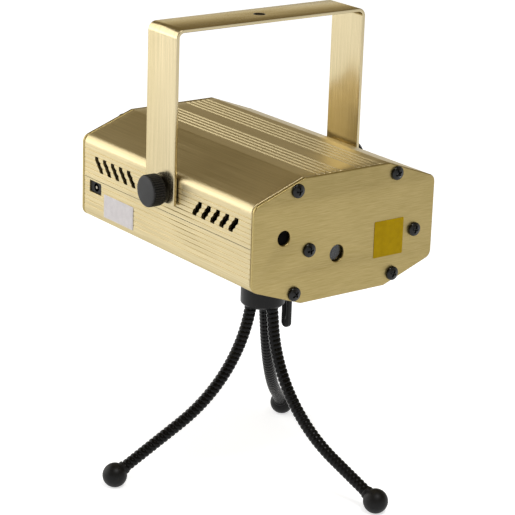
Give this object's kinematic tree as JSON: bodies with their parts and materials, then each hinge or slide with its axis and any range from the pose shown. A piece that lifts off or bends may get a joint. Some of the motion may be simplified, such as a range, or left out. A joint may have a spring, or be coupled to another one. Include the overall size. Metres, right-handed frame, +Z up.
{
  "type": "laser show projector",
  "caption": "Compact gold laser show projector: octagonal vented housing, tilting U bracket clamped by hand knobs, and a mini tripod with ball head and flexible legs.",
  "frame": {"origin": "on the surface that the feet stand on, under the pan axis of the tripod's ball head", "axes": "+Z up, -Y the way the beam leaves the front plate, +X to the right seen from the front"},
  "size_m": [0.1232, 0.1481, 0.1991],
  "materials": {
    "gold_shell": "extruded, pale gold anodised, satin",
    "gold_plate": "pale gold anodised, brushed crosswise",
    "gold_strap": "pale gold anodised, brushed lengthwise",
    "black_screw": "black nickel, glossy",
    "black_knob": "moulded, satin",
    "plated_steel": "nickel plated",
    "nylon": "moulded natural nylon",
    "brass": "turned",
    "black_head": "moulded, satin",
    "black_gooseneck": "black coated spiral, satin",
    "black_rubber": "moulded, matte",
    "clear_glass": "polished",
    "black_plastic": "moulded, satin",
    "bare_aluminium": "milled",
    "motor_can": "drawn can",
    "circuit_board": "solder mask",
    "bright_contact": "plated contact"
  },
  "bodies": {
    "housing": {"upper_shell": "gold_shell", "lower_shell": "gold_shell", "front_plate": "gold_plate", "rear_plate": "gold_plate", "front_plate_screws": "black_screw", "rear_plate_screws": "black_screw", "pivot_nuts": "plated_steel", "board_screws": "plated_steel", "tripod_stud": "plated_steel", "pivot_spacers": "nylon", "board_standoffs": "nylon", "tripod_insert": "brass", "green_laser": "brass", "red_laser": "brass", "microphone_grommet": "black_rubber", "aperture_window": "clear_glass", "beam_combiner": "clear_glass", "window_ring": "black_plastic", "mode_switch": "black_plastic", "fan_frame": "black_plastic", "power_inlet": "black_plastic", "board_parts": "black_plastic", "optics_chassis": "bare_aluminium", "green_laser_block": "bare_aluminium", "red_laser_block": "bare_aluminium", "microphone": "bare_aluminium", "drive_motor": "motor_can", "speed_control": "motor_can", "main_board": "circuit_board", "power_inlet_pin": "bright_contact"},
    "bracket": {"bracket": "gold_strap"},
    "left_washer": {"left_washer": "plated_steel"},
    "left_knob": {"left_knob": "black_knob", "left_knob_stud": "plated_steel"},
    "right_washer": {"right_washer": "plated_steel"},
    "right_knob": {"right_knob": "black_knob", "right_knob_stud": "plated_steel"},
    "ball_seat": {"ball_seat": "nylon"},
    "tripod_hub": {"tripod_hub": "black_head", "hub_cap": "black_head", "leg_roots": "black_gooseneck"},
    "lock_lever": {"lock_lever": "black_head"},
    "left_leg": {"left_leg": "black_gooseneck", "left_leg_core": "plated_steel", "left_foot": "black_rubber"},
    "right_leg": {"right_leg": "black_gooseneck", "right_leg_core": "plated_steel", "right_foot": "black_rubber"},
    "rear_leg": {"rear_leg": "black_gooseneck", "rear_leg_core": "plated_steel", "rear_foot": "black_rubber"},
    "grating_wheel": {"grating_wheel": "nylon", "grating_film": "clear_glass", "wheel_clip": "plated_steel"},
    "motor_rotor": {"motor_pinion": "nylon", "motor_shaft": "plated_steel"},
    "fan_rotor": {"fan_rotor": "black_plastic"},
    "speed_knob": {"speed_knob": "black_knob"},
    "switch_slider": {"switch_slider": "black_plastic"}
  },
  "joints": [
    {"name": "bracket_tilt", "type": "hinge", "parent": "housing", "child": "bracket", "pos_m": [0, 0.009, 0.1314], "axis": [1, 0, 0], "range_deg": [-90, 90]},
    {"name": "left_knob_travel", "type": "slide", "parent": "housing", "child": "left_washer", "axis": [-1, 0, 0], "range_m": [0, 0.0016]},
    {"name": "left_knob_turn", "type": "hinge", "parent": "left_washer", "child": "left_knob", "pos_m": [0, 0.009, 0.1314], "axis": [-1, 0, 0], "range_deg": [0, 720]},
    {"name": "right_knob_travel", "type": "slide", "parent": "housing", "child": "right_washer", "axis": [1, 0, 0], "range_m": [0, 0.0016]},
    {"name": "right_knob_turn", "type": "hinge", "parent": "right_washer", "child": "right_knob", "pos_m": [0, 0.009, 0.1314], "axis": [1, 0, 0], "range_deg": [0, 720]},
    {"name": "tripod_tilt", "type": "hinge", "parent": "housing", "child": "ball_seat", "pos_m": [0, 0, 0.0864], "axis": [1, 0, 0], "range_deg": [-20, 20]},
    {"name": "tripod_pan", "type": "hinge", "parent": "ball_seat", "child": "tripod_hub", "pos_m": [0, 0, 0.0864], "axis": [0, 0, 1], "continuous": true},
    {"name": "lever_turn", "type": "hinge", "parent": "tripod_hub", "child": "lock_lever", "pos_m": [0.0132, 0, 0.0854], "axis": [-1, 0, 0], "range_deg": [0, 90]},
    {"name": "left_leg_bend", "type": "hinge", "parent": "tripod_hub", "child": "left_leg", "pos_m": [-0.00683, 0.00184, 0.06688], "axis": [0.2605, 0.9655, 0], "range_deg": [-25, 30]},
    {"name": "right_leg_bend", "type": "hinge", "parent": "tripod_hub", "child": "right_leg", "pos_m": [0.00144, -0.00624, 0.06677], "axis": [-0.9744, -0.225, 0], "range_deg": [-25, 30]},
    {"name": "rear_leg_bend", "type": "hinge", "parent": "tripod_hub", "child": "rear_leg", "pos_m": [0.00609, 0.00576, 0.06724], "axis": [0.6871, -0.7266, 0], "range_deg": [-25, 30]},
    {"name": "grating_spin", "type": "hinge", "parent": "housing", "child": "grating_wheel", "pos_m": [-0.004, -0.04525, 0.114], "axis": [0, 1, 0], "continuous": true},
    {"name": "motor_spin", "type": "hinge", "parent": "housing", "child": "motor_rotor", "pos_m": [0.004, -0.04525, 0.12786], "axis": [0, 1, 0], "continuous": true},
    {"name": "fan_spin", "type": "hinge", "parent": "housing", "child": "fan_rotor", "pos_m": [0, 0.064, 0.1219], "axis": [0, 1, 0], "continuous": true},
    {"name": "speed_turn", "type": "hinge", "parent": "housing", "child": "speed_knob", "pos_m": [0.033, 0.07125, 0.1099], "axis": [0, 1, 0], "range_deg": [-135, 135]},
    {"name": "switch_slide", "type": "slide", "parent": "housing", "child": "switch_slider", "axis": [1, 0, 0], "range_m": [-0.002, 0.002]}
  ],
  "couplings": [
    {"joint": "left_knob_turn", "follows": "left_knob_travel", "rad_per_m": 7853.9},
    {"joint": "right_knob_turn", "follows": "right_knob_travel", "rad_per_m": 7853.9},
    {"joint": "motor_spin", "follows": "grating_spin", "ratio": -2.3333}
  ]
}
